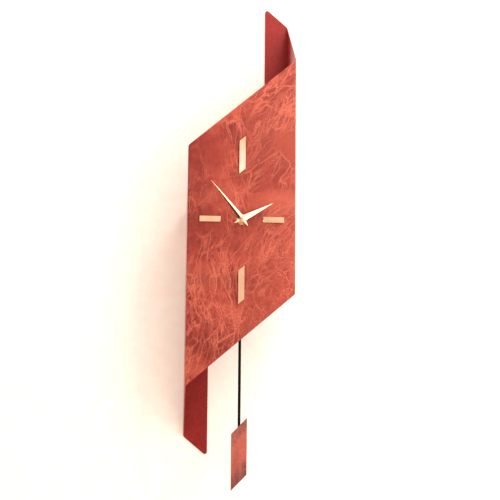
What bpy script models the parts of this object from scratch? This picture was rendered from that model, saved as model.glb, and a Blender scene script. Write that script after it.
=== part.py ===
"""Pendulum wall clock: a sheet-metal ribbon folded round a quartz pendulum movement.

Units are metres, +Z is up, and the clock faces -Y. The origin lies on the wall, straight behind the
hand arbor. Every piece is drawn in the dial's frame, with x to the right, y up and z from the wall
towards the viewer; one empty turns that frame upright. Gears mesh at rest and turn about z.
"""

from math import atan2, cos, pi, radians, sin, sqrt, tan

import bmesh
import bpy

MM = 0.001
WELD = 0.001 * MM

# Case: one strip, cut off at a slant along both edges, with four right-angle bends.
FACE_WIDTH = 140 * MM
STRIP_HEIGHT = 308 * MM
CASE_DEPTH = 88 * MM
FLANGE_WIDTH = 32.5 * MM
SHEET = 1.2 * MM
BEND_RADIUS = 2 * MM
TIP_RADIUS = 3 * MM
EDGE_ANGLE = radians(40)
EDGE_SLOPE = tan(EDGE_ANGLE)
HALF_RUN = FACE_WIDTH / 2 + CASE_DEPTH + FLANGE_WIDTH
FACE_BACK = CASE_DEPTH - SHEET
KEYHOLE_AT = (54 * MM, 190 * MM)
KEYHOLE_HEAD = 4.5 * MM
KEYHOLE_SHANK = 2.3 * MM
KEYHOLE_RISE = 9 * MM

# Clearance between neighbours, how far welded-on shapes run into each other, and how far a cut
# reaches past what it cuts.
GAP = 0.3 * MM
OVERLAP = 0.2 * MM
CUT_REACH = 10 * MM

# Dial.
MARKER_THICKNESS = 2 * MM
MARKER_CHAMFER = 0.4 * MM
TALL_MARKER = (8 * MM, 43 * MM)
TALL_MARKER_OFFSET = 84 * MM
WIDE_MARKER = (27.4 * MM, 7.5 * MM)
WIDE_MARKER_OFFSET = 41 * MM

# Hands. Each ridge rises above the plate, and each hub a little above its ridge.
HAND_PLATE = 0.45 * MM
HAND_SHOULDER = 2.5 * MM
HUB_PROUD = 0.3 * MM
HOUR_HAND = dict(length=45.5 * MM, tail=11.5 * MM, width=7.6 * MM, hub=4.5 * MM, ridge=1.0 * MM)
MINUTE_HAND = dict(length=64.5 * MM, tail=12 * MM, width=6.2 * MM, hub=3.4 * MM, ridge=1.1 * MM)
HOUR_TURN = -radians(62)
MINUTE_TURN = radians(39.4)
HOUR_HAND_BACK = 92.8 * MM
MINUTE_HAND_BACK = 95.2 * MM
HAND_NUT = (97.2 * MM, 99.9 * MM)
HAND_NUT_RADIUS = 3.25 * MM

# Nested hand arbors, as (bore, outside) radii, and where the minute arbor steps in.
ARBOR_RADIUS = 1.5 * MM
ARBOR_TIP = 1.2 * MM
ARBOR_CORE = 0.8 * MM
ARBOR_SHOULDER = 80.8 * MM
HAND_SEAT = 96.9 * MM
ARBOR_END = 99 * MM
HOUR_TUBE = (1.85 * MM, 2.5 * MM)
HOUR_TUBE_END = 94.6 * MM
BUSHING = (2.8 * MM, 4 * MM)
BUSHING_DEPTHS = (82.6 * MM, 92.4 * MM)
BUSHING_FLANGE = (5.5 * MM, 0.8 * MM)
PANEL_HOLE = 4.3 * MM

# What clamps the movement to the face: radius, back and front.
FIXING_NUT = (6.3 * MM, 89.7 * MM, 91.7 * MM)
BRASS_WASHER = (6.9 * MM, 88.3 * MM, 89.3 * MM)
RUBBER_WASHER = (9 * MM, 85.5 * MM, FACE_BACK - GAP)

# Movement housing.
HOUSING_HALF = 29 * MM
HOUSING_TOP = 28.5 * MM
HOUSING_BOTTOM = -78 * MM
HOUSING_WALL = 1.5 * MM
HOUSING_CORNER = 3 * MM
HOUSING_FRONT = 85.2 * MM
HOUSING_INNER = 83.7 * MM
HOUSING_BACK = 66.5 * MM
COVER = (64.7 * MM, 66.2 * MM)
BAY_SPLIT = (10.3 * MM, 11.6 * MM)
DRIVE_SPLIT = (-30.5 * MM, -29 * MM)
BRIDGE = (67.3 * MM, 68.5 * MM)
BRIDGE_POSTS = ((21 * MM, 5 * MM), (21 * MM, -24.5 * MM), (-20 * MM, 5.5 * MM))
BRIDGE_POST = (1.6 * MM, 68 * MM, 83.4 * MM)
PIVOT_BORE = 0.9 * MM
PIVOT_ENDS = (67.7 * MM, 83.3 * MM)
BOSS = (82.7 * MM, 84.4 * MM)
BOSS_RADII = (1.1 * MM, 2 * MM)
ARBOR = 0.5 * MM
ROTOR_ARBOR = 0.4 * MM

# Gear train: tooth counts, and the module of each stage.
FINE = 0.3 * MM
COARSE = 0.4 * MM
PINION = 6
INTERMEDIATE_TEETH = 36
SECOND_TEETH = 30
THIRD_TEETH = 45
CENTRE_TEETH = 48
CANNON_TEETH = 10
MINUTE_TEETH = 30
MINUTE_PINION = 8
HOUR_TEETH = 32
ADDENDUM = 0.85
DEDENDUM = 1.15
PINION_TOOTH = (0.38, 0.16)
WHEEL_TOOTH = (0.46, 0.20)

# The (back, front) layer of each wheel and pinion.
ROTOR_PINION_LAYER = (71.7 * MM, 73.6 * MM)
ROTOR_MAGNET_LAYER = (69.0 * MM, 71.4 * MM)
INTERMEDIATE_LAYERS = ((72.2 * MM, 73.2 * MM), (73.0 * MM, 75.4 * MM))
SECOND_LAYERS = ((74.0 * MM, 75.0 * MM), (74.8 * MM, 77.2 * MM))
THIRD_LAYERS = ((75.8 * MM, 76.8 * MM), (76.6 * MM, 79.0 * MM))
CENTRE_LAYERS = ((77.6 * MM, 78.6 * MM), (78.3 * MM, 80.5 * MM))
MINUTE_LAYERS = ((79.2 * MM, 80.4 * MM), (80.1 * MM, 82.3 * MM))
HOUR_LAYER = (81.0 * MM, 82.2 * MM)
KNOB_PINION_LAYER = (79.1 * MM, 80.5 * MM)
ROTOR_MAGNET = (0.75 * MM, 2.1 * MM)
CENTRE_BORE = 1.1 * MM
MINUTE_BORE = 0.7 * MM
STUD = (0.4 * MM, 78.9 * MM)

# Setting knob.
KNOB = (58.5 * MM, 63.5 * MM)
KNOB_RADIUS = 7 * MM
KNOB_SHAFT = 0.8 * MM
FLUTE_DEPTH = 0.5 * MM
FLUTES = 20

# Motor, board and contacts.
STATOR = (69.6 * MM, 70.8 * MM)
STATOR_EYE = 2.7 * MM
MOTOR_COIL = (66.9 * MM, 73.5 * MM)
BOARD = (81.2 * MM, 82.4 * MM)
CRYSTAL = (1 * MM, 6.4 * MM)
CONTACT_STRIP = 0.4 * MM
CONTACT_DEPTHS = (70 * MM, 83.2 * MM)
CONTACT_HEIGHTS = (14.5 * MM, 24 * MM)

# Pendulum and its drive.
ROCKER_AT = (0.0, -36 * MM)
PIN_RADIUS = 1 * MM
PIN_DEPTHS = (66.6 * MM, 83.3 * MM)
PIN_PLAY = 0.4 * MM
HANGER_BOSS = 3 * MM
DRIVE_COIL = (3.5 * MM, 9 * MM)
DRIVE_COIL_DEPTHS = (66.6 * MM, 71.2 * MM)
DRIVE_MAGNET = (4 * MM, 72.4 * MM)
ROCKER_PLATE = (75.2 * MM, 77 * MM)
ROCKER_HUB = (3.2 * MM, 70.6 * MM, 79.6 * MM)
ROCKER_ARM = 2.5 * MM
MAGNET_DROP = -22 * MM
PEG_DROP = -48.5 * MM
ROD = (73.7 * MM, 74.9 * MM)
ROD_WIDTH = 3.6 * MM
ROD_END = -296 * MM
ROD_EYE = (1.6 * MM, 3.2 * MM)
PEG = (1.2 * MM, 72.6 * MM)
BOB = (75.2 * MM, 76.4 * MM)
BOB_WIDTH = 20.2 * MM
BOB_SIDE = 71.4 * MM
BOB_DROP = -263.3 * MM
BOB_EDGE = 0.2 * MM
CLIP_HALF = (7 * MM, 16 * MM)
CLIP_WALL = 1 * MM

# Battery: an AA cell lying across the top of the housing.
BATTERY_RADIUS = 7.1 * MM
BATTERY_LENGTH = 50.5 * MM
BATTERY_AT = (0.0, 19.3 * MM, 76.1 * MM)
BATTERY_CAP = (2.7 * MM, 1.1 * MM)
BATTERY_RIM = 0.6 * MM

LOOKS = {
    "red": ((0.50, 0.07, 0.05), 0.35, 0.3),
    "gold": ((0.85, 0.62, 0.33), 0.15, 1.0),
    "brass": ((0.72, 0.52, 0.22), 0.3, 1.0),
    "steel": ((0.55, 0.55, 0.56), 0.3, 1.0),
    "black_metal": ((0.02, 0.02, 0.02), 0.4, 0.5),
    "black_plastic": ((0.03, 0.03, 0.03), 0.5, 0.0),
    "white_plastic": ((0.75, 0.74, 0.70), 0.5, 0.0),
    "rubber": ((0.02, 0.02, 0.02), 0.9, 0.0),
    "board": ((0.04, 0.18, 0.07), 0.5, 0.0),
    "copper": ((0.65, 0.25, 0.12), 0.3, 1.0),
    "magnet": ((0.12, 0.12, 0.13), 0.35, 0.8),
    "cell": ((0.06, 0.18, 0.20), 0.35, 0.2),
}


def clear_scene():
    for old in list(bpy.data.objects):
        bpy.data.objects.remove(old)


def new_collection(name):
    made = bpy.data.collections.new(name)
    bpy.context.scene.collection.children.link(made)
    return made


clear_scene()
CLOCK = new_collection("pendulum_wall_clock")
TOOLS = new_collection("helpers")
DIAL = bpy.data.objects.new("dial_frame", None)
DIAL.rotation_euler = (pi / 2, 0, 0)
CLOCK.objects.link(DIAL)


# ---------------------------------------------------------------- outlines


def circle(radius, centre=(0, 0), steps=24):
    """Points round a circle."""
    angles = [2 * pi * step / steps for step in range(steps)]
    return [(centre[0] + radius * cos(a), centre[1] + radius * sin(a)) for a in angles]


def box_loop(left, right, bottom, top):
    """The four corners of a rectangle."""
    return [(left, bottom), (right, bottom), (right, top), (left, top)]


def round_box(left, right, bottom, top, radius, steps=4):
    """A rectangle with round corners."""
    corners = (
        (right - radius, top - radius, 0),
        (left + radius, top - radius, 1),
        (left + radius, bottom + radius, 2),
        (right - radius, bottom + radius, 3),
    )
    loop = []
    for x, y, quarter in corners:
        for step in range(steps + 1):
            angle = (quarter + step / steps) * pi / 2
            loop.append((x + radius * cos(angle), y + radius * sin(angle)))
    return loop


def slanted_box(width, side, slope):
    """A parallelogram with upright sides whose ends rise to the right."""
    half, rise = width / 2, slope * width / 2
    low, high = -side / 2, side / 2
    return [(-half, low - rise), (half, low + rise), (half, high + rise), (-half, high - rise)]


def gear_loop(teeth, module, phase, tooth):
    """Straight-flanked teeth. The tooth pair gives its width at the pitch circle and at the tip."""
    pitch_radius = teeth * module / 2
    tip = pitch_radius + ADDENDUM * module
    root = pitch_radius - DEDENDUM * module
    half_pitch = pi / teeth
    at_pitch = tooth[0] * half_pitch
    at_tip = tooth[1] * half_pitch * pitch_radius / tip
    at_root = at_pitch + (at_pitch - at_tip) * DEDENDUM / ADDENDUM
    loop = []
    for index in range(teeth):
        middle = phase + 2 * half_pitch * index
        for radius, spread in ((root, -at_root), (tip, -at_tip), (tip, at_tip), (root, at_root)):
            loop.append((radius * cos(middle + spread), radius * sin(middle + spread)))
    return loop


def pinion_loop(teeth, module, phase=0.0):
    return gear_loop(teeth, module, phase, PINION_TOOTH)


def wheel_loop(teeth, module, phase):
    return gear_loop(teeth, module, phase, WHEEL_TOOTH)


# ------------------------------------------------------------------ meshes


def evaluated_mesh(holder):
    """The mesh that a helper object's curve or modifiers make. The helper is removed."""
    bpy.context.scene.collection.objects.link(holder)
    bpy.context.view_layer.update()
    graph = bpy.context.evaluated_depsgraph_get()
    mesh = bpy.data.meshes.new_from_object(holder.evaluated_get(graph))
    bpy.data.objects.remove(holder)
    return mesh


def finished(bm, mesh=None):
    """Welds a bmesh, turns its faces outwards and writes it to a mesh."""
    mesh = mesh or bpy.data.meshes.new("shape")
    bmesh.ops.remove_doubles(bm, verts=bm.verts, dist=WELD)
    bmesh.ops.recalc_face_normals(bm, faces=bm.faces)
    bm.to_mesh(mesh)
    bm.free()
    return mesh


def plate(loops, back, front):
    """A flat plate between two depths. A loop inside another is a hole."""
    curve = bpy.data.curves.new("outline", "CURVE")
    curve.dimensions = "2D"
    curve.fill_mode = "BOTH"
    curve.extrude = (front - back) / 2
    for loop in loops:
        spline = curve.splines.new("POLY")
        spline.points.add(len(loop) - 1)
        for point, (x, y) in zip(spline.points, loop):
            point.co = (x, y, 0, 1)
        spline.use_cyclic_u = True
    mesh = evaluated_mesh(bpy.data.objects.new("outline", curve))
    bm = bmesh.new()
    bm.from_mesh(mesh)
    bmesh.ops.translate(bm, verts=bm.verts, vec=(0, 0, (back + front) / 2))
    return finished(bm, mesh)


def turned(profile, ring=False, steps=32):
    """Spins (radius, depth) points round the z axis. The outer side runs front to back."""
    mesh = bpy.data.meshes.new("profile")
    last = len(profile) - 1
    edges = [(index, index + 1) for index in range(last)]
    if ring:
        edges.append((last, 0))
    mesh.from_pydata([(radius, 0, depth) for radius, depth in profile], edges, [])
    holder = bpy.data.objects.new("profile", mesh)
    screw = holder.modifiers.new("spin", "SCREW")
    screw.steps = screw.render_steps = steps
    screw.use_merge_vertices = True
    screw.merge_threshold = WELD
    bm = bmesh.new()
    bm.from_mesh(evaluated_mesh(holder))
    return finished(bm)


def swapped(mesh, order):
    """The mesh with its axes reordered, for a shape that isn't drawn along the dial's axis."""
    bm = bmesh.new()
    bm.from_mesh(mesh)
    for vert in bm.verts:
        vert.co = [vert.co[axis] for axis in order]
    return finished(bm)


def upright(loops, low, high):
    """A plate whose loops are (x, z) points, between two heights."""
    return swapped(plate(loops, low, high), (0, 2, 1))


def tube(bore, radius, back, front, steps=32):
    return turned([(radius, front), (radius, back), (bore, back), (bore, front)], True, steps)


def hole(radius, at=(0, 0), steps=24):
    """A long cylinder that cuts a round hole through any piece inside the clock."""
    return pin(radius, PIVOT_ENDS[0] - CUT_REACH, HAND_NUT[1] + CUT_REACH, at, steps)


def pin(radius, back, front, at=(0, 0), steps=16):
    """A plain cylinder along z."""
    bm = bmesh.new()
    bmesh.ops.create_cone(
        bm, cap_ends=True, segments=steps, radius1=radius, radius2=radius, depth=front - back
    )
    bmesh.ops.translate(bm, verts=bm.verts, vec=(at[0], at[1], (back + front) / 2))
    return finished(bm)


def block(x, y, z):
    """A box from three (low, high) pairs."""
    bm = bmesh.new()
    bmesh.ops.create_cube(bm, size=1)
    for vert in bm.verts:
        for axis, (low, high) in enumerate((x, y, z)):
            vert.co[axis] = (low + high) / 2 + vert.co[axis] * (high - low)
    return finished(bm)


# ------------------------------------------------------------------ pieces


def look_of(name, kind):
    """The piece's own Principled material."""
    colour, roughness, metallic = LOOKS[kind]
    made = bpy.data.materials.new(name)
    made.use_nodes = True
    shader = made.node_tree.nodes["Principled BSDF"]
    shader.inputs["Base Color"].default_value = (*colour, 1)
    shader.inputs["Roughness"].default_value = roughness
    shader.inputs["Metallic"].default_value = metallic
    return made


def helper(mesh, place, turn):
    """An object that a Boolean reads, kept out of the clock."""
    made = bpy.data.objects.new("helper", mesh)
    made.hide_render = True
    made.display_type = "WIRE"
    made.parent = DIAL
    made.location = place
    made.rotation_euler = (0, 0, turn)
    TOOLS.objects.link(made)
    return made


def piece(name, mesh, kind, place=(0, 0, 0), turn=0.0, joins=(), cuts=()):
    """A named piece of the clock, with the shapes joined to it and then cut from it."""
    made = bpy.data.objects.new(name, mesh)
    made.parent = DIAL
    made.location = place
    made.rotation_euler = (0, 0, turn)
    CLOCK.objects.link(made)
    mesh.materials.clear()
    mesh.materials.append(look_of(name, kind))
    for operation, shapes in (("UNION", joins), ("DIFFERENCE", cuts)):
        for shape in shapes:
            boolean = made.modifiers.new(operation.lower(), "BOOLEAN")
            boolean.operation = operation
            boolean.object = helper(shape, place, turn)
    mesh.shade_smooth()
    mesh.set_sharp_from_angle(angle=radians(35))
    return made


def bevelled(made, width, steps=1):
    """Breaks the edges of a piece."""
    bevel = made.modifiers.new("edges", "BEVEL")
    bevel.width = width
    bevel.segments = steps
    bevel.limit_method = "ANGLE"
    return made


# -------------------------------------------------------------------- case


def strip_stations():
    """(run, x, z) along the right half of the strip, from its first bend to its free end."""
    inner = FACE_WIDTH / 2 - BEND_RADIUS
    bend_steps = 5
    stations = []
    for step in range(bend_steps + 1):
        share = step / bend_steps
        angle = share * pi / 2
        reach, drop = BEND_RADIUS * sin(angle), BEND_RADIUS * (1 - cos(angle))
        stations.append((inner + 2 * BEND_RADIUS * share, inner + reach, CASE_DEPTH - drop))
    back_run = FACE_WIDTH / 2 + CASE_DEPTH - BEND_RADIUS
    for step in range(bend_steps + 1):
        share = step / bend_steps
        angle = share * pi / 2
        reach, drop = BEND_RADIUS * cos(angle), BEND_RADIUS * (1 - sin(angle))
        stations.append((back_run + 2 * BEND_RADIUS * share, inner + reach, drop))
    tip_steps = 7
    for step in range(tip_steps + 1):
        angle = (pi / 2 + EDGE_ANGLE) * (1 - step / tip_steps)
        run = HALF_RUN - TIP_RADIUS * (1 - cos(angle))
        stations.append((run, FACE_WIDTH + CASE_DEPTH - run, 0.0))
    return stations


def strip_edges(run):
    """(bottom, top) of the strip at a distance along it, with the corners at its right end round."""
    bottom = EDGE_SLOPE * run - STRIP_HEIGHT / 2
    top = bottom + STRIP_HEIGHT
    past = run - (HALF_RUN - TIP_RADIUS)
    if past > -TIP_RADIUS * sin(EDGE_ANGLE) - WELD:
        centre = top - EDGE_SLOPE * past - TIP_RADIUS / cos(EDGE_ANGLE)
        top = centre + sqrt(max(TIP_RADIUS**2 - past**2, 0))
    if past > TIP_RADIUS * sin(EDGE_ANGLE):
        centre = bottom - EDGE_SLOPE * past + TIP_RADIUS / cos(EDGE_ANGLE)
        bottom = centre - sqrt(max(TIP_RADIUS**2 - past**2, 0))
    return bottom, top


def strip_mesh():
    """The strip's outer skin: a flat grid, folded. Its left half is its right half turned half round."""
    right = strip_stations()
    columns = []
    for run, x, z in reversed(right):
        bottom, top = strip_edges(run)
        columns.append((-x, z, -top, -bottom))
    for run, x, z in right:
        columns.append((x, z, *strip_edges(run)))
    bm = bmesh.new()
    last = len(columns) - 1
    bmesh.ops.create_grid(bm, x_segments=last, y_segments=1, size=0.5)
    for vert in bm.verts:
        x, z, bottom, top = columns[round((vert.co.x + 0.5) * last)]
        vert.co = (x, top if vert.co.y > 0 else bottom, z)
    mesh = bpy.data.meshes.new("strip")
    bm.to_mesh(mesh)
    bm.free()
    return mesh


def keyhole_loop(centre):
    """A round head with a narrow slot above it."""
    x, y = centre
    opening = pi / 2 - KEYHOLE_SHANK / KEYHOLE_HEAD
    steps = 16
    sweep = 2 * pi - 2 * (pi / 2 - opening)
    start = pi / 2 + (pi / 2 - opening)
    loop = []
    for step in range(steps + 1):
        angle = start + sweep * step / steps
        loop.append((x + KEYHOLE_HEAD * cos(angle), y + KEYHOLE_HEAD * sin(angle)))
    for step in range(9):
        angle = pi * step / 8
        loop.append((x + KEYHOLE_SHANK * cos(angle), y + KEYHOLE_RISE + KEYHOLE_SHANK * sin(angle)))
    return loop


def build_case():
    through = (-CUT_REACH, CUT_REACH)
    opposite = (-KEYHOLE_AT[0], -KEYHOLE_AT[1])
    case = piece("case_ribbon", strip_mesh(), "red")
    solid = case.modifiers.new("sheet", "SOLIDIFY")
    solid.thickness = SHEET
    solid.offset = -1
    solid.use_even_offset = True
    cuts = (
        pin(PANEL_HOLE, CASE_DEPTH - CUT_REACH, CASE_DEPTH + CUT_REACH, steps=32),
        plate([keyhole_loop(KEYHOLE_AT)], *through),
        plate([keyhole_loop(opposite)], *through),
    )
    for shape in cuts:
        boolean = case.modifiers.new("hole", "BOOLEAN")
        boolean.operation = "DIFFERENCE"
        boolean.object = helper(shape, (0, 0, 0), 0)


def build_markers():
    back = CASE_DEPTH + GAP
    front = back + MARKER_THICKNESS
    tall = slanted_box(*TALL_MARKER, EDGE_SLOPE)
    wide = slanted_box(*WIDE_MARKER, 0)
    places = (
        ("marker_12", tall, (0, TALL_MARKER_OFFSET, 0)),
        ("marker_3", wide, (WIDE_MARKER_OFFSET, 0, 0)),
        ("marker_6", tall, (0, -TALL_MARKER_OFFSET, 0)),
        ("marker_9", wide, (-WIDE_MARKER_OFFSET, 0, 0)),
    )
    for name, loop, place in places:
        bevelled(piece(name, plate([loop], back, front), "gold", place), MARKER_CHAMFER)


# ------------------------------------------------------------------- hands


def hand_mesh(length, tail, width, ridge):
    """A dauphine hand pointing up: a diamond plate whose four facets meet over the arbor."""
    half = width / 2
    corners = ((0, length), (-half, HAND_SHOULDER), (0, -tail), (half, HAND_SHOULDER))
    bm = bmesh.new()
    floor = bm.faces.new([bm.verts.new((x, y, 0)) for x, y in corners])
    grown = bmesh.ops.extrude_face_region(bm, geom=[floor])["geom"]
    top = [part for part in grown if isinstance(part, bmesh.types.BMFace)][0]
    bmesh.ops.translate(bm, verts=list(top.verts), vec=(0, 0, HAND_PLATE))
    peak = bmesh.ops.poke(bm, faces=[top])["verts"][0]
    peak.co = (0, 0, HAND_PLATE + ridge)
    return finished(bm)


def build_hand(name, sizes, back, turn, bore):
    hub_front = HAND_PLATE + sizes["ridge"] + HUB_PROUD
    mesh = hand_mesh(sizes["length"], sizes["tail"], sizes["width"], sizes["ridge"])
    hub = pin(sizes["hub"], -OVERLAP, hub_front, steps=32)
    through = pin(bore, -CUT_REACH, CUT_REACH, steps=24)
    piece(name, mesh, "gold", (0, 0, back), turn, joins=[hub], cuts=[through])


def build_hand_nut():
    """A low dome with a blind hole for the arbor's end."""
    back, front = HAND_NUT
    radius, bore, bore_end = HAND_NUT_RADIUS, ARBOR_TIP + GAP, ARBOR_END + GAP
    dome = ((0, 0.0), (0.55, 0.15 * MM), (0.85, 0.5 * MM), (1.0, 1.0 * MM))
    profile = [(share * radius, front - drop) for share, drop in dome]
    profile += [(radius, back), (bore, back), (bore, bore_end), (0, bore_end)]
    piece("hand_nut", turned(profile, steps=32), "gold")


def build_fixings():
    """What clamps the movement to the face, in order from the front."""
    radius, back, front = FIXING_NUT
    nut = plate([circle(radius, steps=6), circle(PANEL_HOLE, steps=24)], back, front)
    piece("fixing_nut", nut, "brass")
    for name, sizes, kind in (
        ("brass_washer", BRASS_WASHER, "brass"),
        ("rubber_washer", RUBBER_WASHER, "rubber"),
    ):
        piece(name, tube(PANEL_HOLE, *sizes), kind)
    bore, radius = BUSHING
    back, front = BUSHING_DEPTHS
    flange, shelf = BUSHING_FLANGE[0], back + BUSHING_FLANGE[1]
    profile = [(radius, front), (radius, shelf), (flange, shelf), (flange, back)]
    profile += [(bore, back), (bore, front)]
    piece("threaded_bushing", turned(profile, True), "brass")


# -------------------------------------------------------------- gear train


def beside(origin, distance, degrees):
    """The point at a distance and bearing from another."""
    angle = radians(degrees)
    return (origin[0] + distance * cos(angle), origin[1] + distance * sin(angle))


def spacing(teeth, pinion, module):
    return (teeth + pinion) * module / 2


def meshed_phase(driver_at, driver_teeth, driver_phase, wheel_at, teeth):
    """The phase that puts a gap of the wheel where the driver's tooth comes."""
    bearing = atan2(wheel_at[1] - driver_at[1], wheel_at[0] - driver_at[0])
    ahead = driver_phase - bearing
    return bearing + pi - pi / teeth - ahead * driver_teeth / teeth


CENTRE_AT = (0.0, 0.0)
THIRD_AT = beside(CENTRE_AT, spacing(CENTRE_TEETH, PINION, COARSE), -38)
SECOND_AT = beside(THIRD_AT, spacing(THIRD_TEETH, PINION, COARSE), -78)
INTERMEDIATE_AT = beside(SECOND_AT, spacing(SECOND_TEETH, PINION, COARSE), 190)
ROTOR_AT = beside(INTERMEDIATE_AT, spacing(INTERMEDIATE_TEETH, PINION, FINE), 190)
MINUTE_AT = beside(CENTRE_AT, spacing(MINUTE_TEETH, CANNON_TEETH, COARSE), 202)
KNOB_AT = beside(MINUTE_AT, spacing(MINUTE_TEETH, CANNON_TEETH, COARSE), 167)


def build_train_wheel(name, at, driver_at, teeth, module, wheel, pinion):
    """A wheel with its own pinion and arbor. The wheel and pinion are (back, front) pairs."""
    phase = meshed_phase(driver_at, PINION, 0.0, at, teeth)
    joins = [plate([pinion_loop(PINION, COARSE)], *pinion), pin(ARBOR, *PIVOT_ENDS, steps=12)]
    body = plate([wheel_loop(teeth, module, phase)], *wheel)
    piece(name, body, "white_plastic", (*at, 0), joins=joins)


def build_train():
    build_train_wheel(
        "intermediate_wheel", INTERMEDIATE_AT, ROTOR_AT, INTERMEDIATE_TEETH, FINE,
        *INTERMEDIATE_LAYERS,
    )
    build_train_wheel(
        "second_wheel", SECOND_AT, INTERMEDIATE_AT, SECOND_TEETH, COARSE, *SECOND_LAYERS
    )
    build_train_wheel("third_wheel", THIRD_AT, SECOND_AT, THIRD_TEETH, COARSE, *THIRD_LAYERS)


def build_rotor():
    pinion = plate([pinion_loop(PINION, FINE)], *ROTOR_PINION_LAYER)
    arbor = pin(ROTOR_ARBOR, *PIVOT_ENDS, steps=12)
    piece("rotor_pinion", pinion, "white_plastic", (*ROTOR_AT, 0), joins=[arbor])
    magnet = tube(*ROTOR_MAGNET, *ROTOR_MAGNET_LAYER, steps=24)
    piece("rotor_magnet", magnet, "magnet", (*ROTOR_AT, 0))


def minute_wheel_phase():
    return meshed_phase(CENTRE_AT, CANNON_TEETH, 0.0, MINUTE_AT, MINUTE_TEETH)


def build_motion_work():
    """The wheels that turn the hands."""
    phase = meshed_phase(THIRD_AT, PINION, 0.0, CENTRE_AT, CENTRE_TEETH)
    wheel = plate([wheel_loop(CENTRE_TEETH, COARSE, phase)], *CENTRE_LAYERS[0])
    cannon = plate([pinion_loop(CANNON_TEETH, COARSE)], *CENTRE_LAYERS[1])
    piece("centre_wheel", wheel, "white_plastic", joins=[cannon], cuts=[hole(CENTRE_BORE)])

    profile = [(0, ARBOR_END), (ARBOR_TIP, ARBOR_END), (ARBOR_TIP, HAND_SEAT)]
    profile += [(ARBOR_RADIUS, HAND_SEAT), (ARBOR_RADIUS, ARBOR_SHOULDER)]
    profile += [(ARBOR_CORE, ARBOR_SHOULDER), (ARBOR_CORE, PIVOT_ENDS[0]), (0, PIVOT_ENDS[0])]
    piece("minute_arbor", turned(profile, steps=24), "steel")

    wheel = plate([wheel_loop(MINUTE_TEETH, COARSE, minute_wheel_phase())], *MINUTE_LAYERS[0])
    small = plate([pinion_loop(MINUTE_PINION, COARSE)], *MINUTE_LAYERS[1])
    bore = hole(MINUTE_BORE, steps=12)
    piece("minute_wheel", wheel, "white_plastic", (*MINUTE_AT, 0), joins=[small], cuts=[bore])

    phase = meshed_phase(MINUTE_AT, MINUTE_PINION, 0.0, CENTRE_AT, HOUR_TEETH)
    wheel = plate([wheel_loop(HOUR_TEETH, COARSE, phase)], *HOUR_LAYER)
    bore, radius = HOUR_TUBE
    sleeve = pin(radius, HOUR_LAYER[0] + OVERLAP, HOUR_TUBE_END, steps=32)
    piece("hour_wheel", wheel, "brass", joins=[sleeve], cuts=[hole(bore)])


def fluted_loop(radius, depth, flutes):
    """A knob's edge: small ridges for the fingers."""
    loop = []
    for index in range(4 * flutes):
        reach = radius if index % 4 < 2 else radius - depth
        angle = 2 * pi * index / (4 * flutes)
        loop.append((reach * cos(angle), reach * sin(angle)))
    return loop


def build_setting_knob():
    """The knob, its shaft and its pinion, in one moulding."""
    phase = meshed_phase(MINUTE_AT, MINUTE_TEETH, minute_wheel_phase(), KNOB_AT, CANNON_TEETH)
    knob = plate([fluted_loop(KNOB_RADIUS, FLUTE_DEPTH, FLUTES)], *KNOB)
    shaft = pin(KNOB_SHAFT, KNOB[0] + OVERLAP, PIVOT_ENDS[1])
    pinion = plate([pinion_loop(CANNON_TEETH, COARSE, phase)], *KNOB_PINION_LAYER)
    piece("setting_knob", knob, "white_plastic", (*KNOB_AT, 0), joins=[shaft, pinion])


# ---------------------------------------------------------------- movement


def housing_bays():
    """The three inner outlines of the housing: battery, gears and pendulum drive."""
    side = HOUSING_HALF - HOUSING_WALL
    return (
        box_loop(-side, side, BAY_SPLIT[1], HOUSING_TOP - HOUSING_WALL),
        box_loop(-side, side, DRIVE_SPLIT[1], BAY_SPLIT[0]),
        box_loop(-side, side, HOUSING_BOTTOM + HOUSING_WALL, DRIVE_SPLIT[0]),
    )


def hanger_rings():
    """The round boss that holds an end of the rocker's pin."""
    return [circle(HANGER_BOSS, ROCKER_AT, 20), circle(PIN_RADIUS + PIN_PLAY, ROCKER_AT, 16)]


def build_housing():
    outer = round_box(-HOUSING_HALF, HOUSING_HALF, HOUSING_BOTTOM, HOUSING_TOP, HOUSING_CORNER)
    front = plate([outer, circle(PANEL_HOLE, steps=32)], HOUSING_INNER, HOUSING_FRONT)
    walls = plate([outer, *housing_bays()], HOUSING_BACK, HOUSING_INNER + 3 * OVERLAP)
    bore, radius = BOSS_RADII
    rings = []
    for at in (THIRD_AT, SECOND_AT, INTERMEDIATE_AT, ROTOR_AT, KNOB_AT):
        rings += [circle(radius, at, 16), circle(bore, at, 16)]
    hanger_back, hanger_reach = 80.2 * MM, BOSS[1]
    hanger = plate(hanger_rings(), hanger_back, hanger_reach)
    stud = pin(STUD[0], STUD[1], BOSS[1], MINUTE_AT, 12)
    slot_half, slot_back, slot_front = 10 * MM, 71.5 * MM, 79.5 * MM
    slot_low, slot_high = HOUSING_BOTTOM - 7 * MM, HOUSING_BOTTOM + 8 * MM
    slot = block((-slot_half, slot_half), (slot_low, slot_high), (slot_back, slot_front))
    joins = [front, plate(rings, *BOSS), hanger, stud]
    piece("movement_housing", walls, "black_plastic", joins=joins, cuts=[slot])


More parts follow.
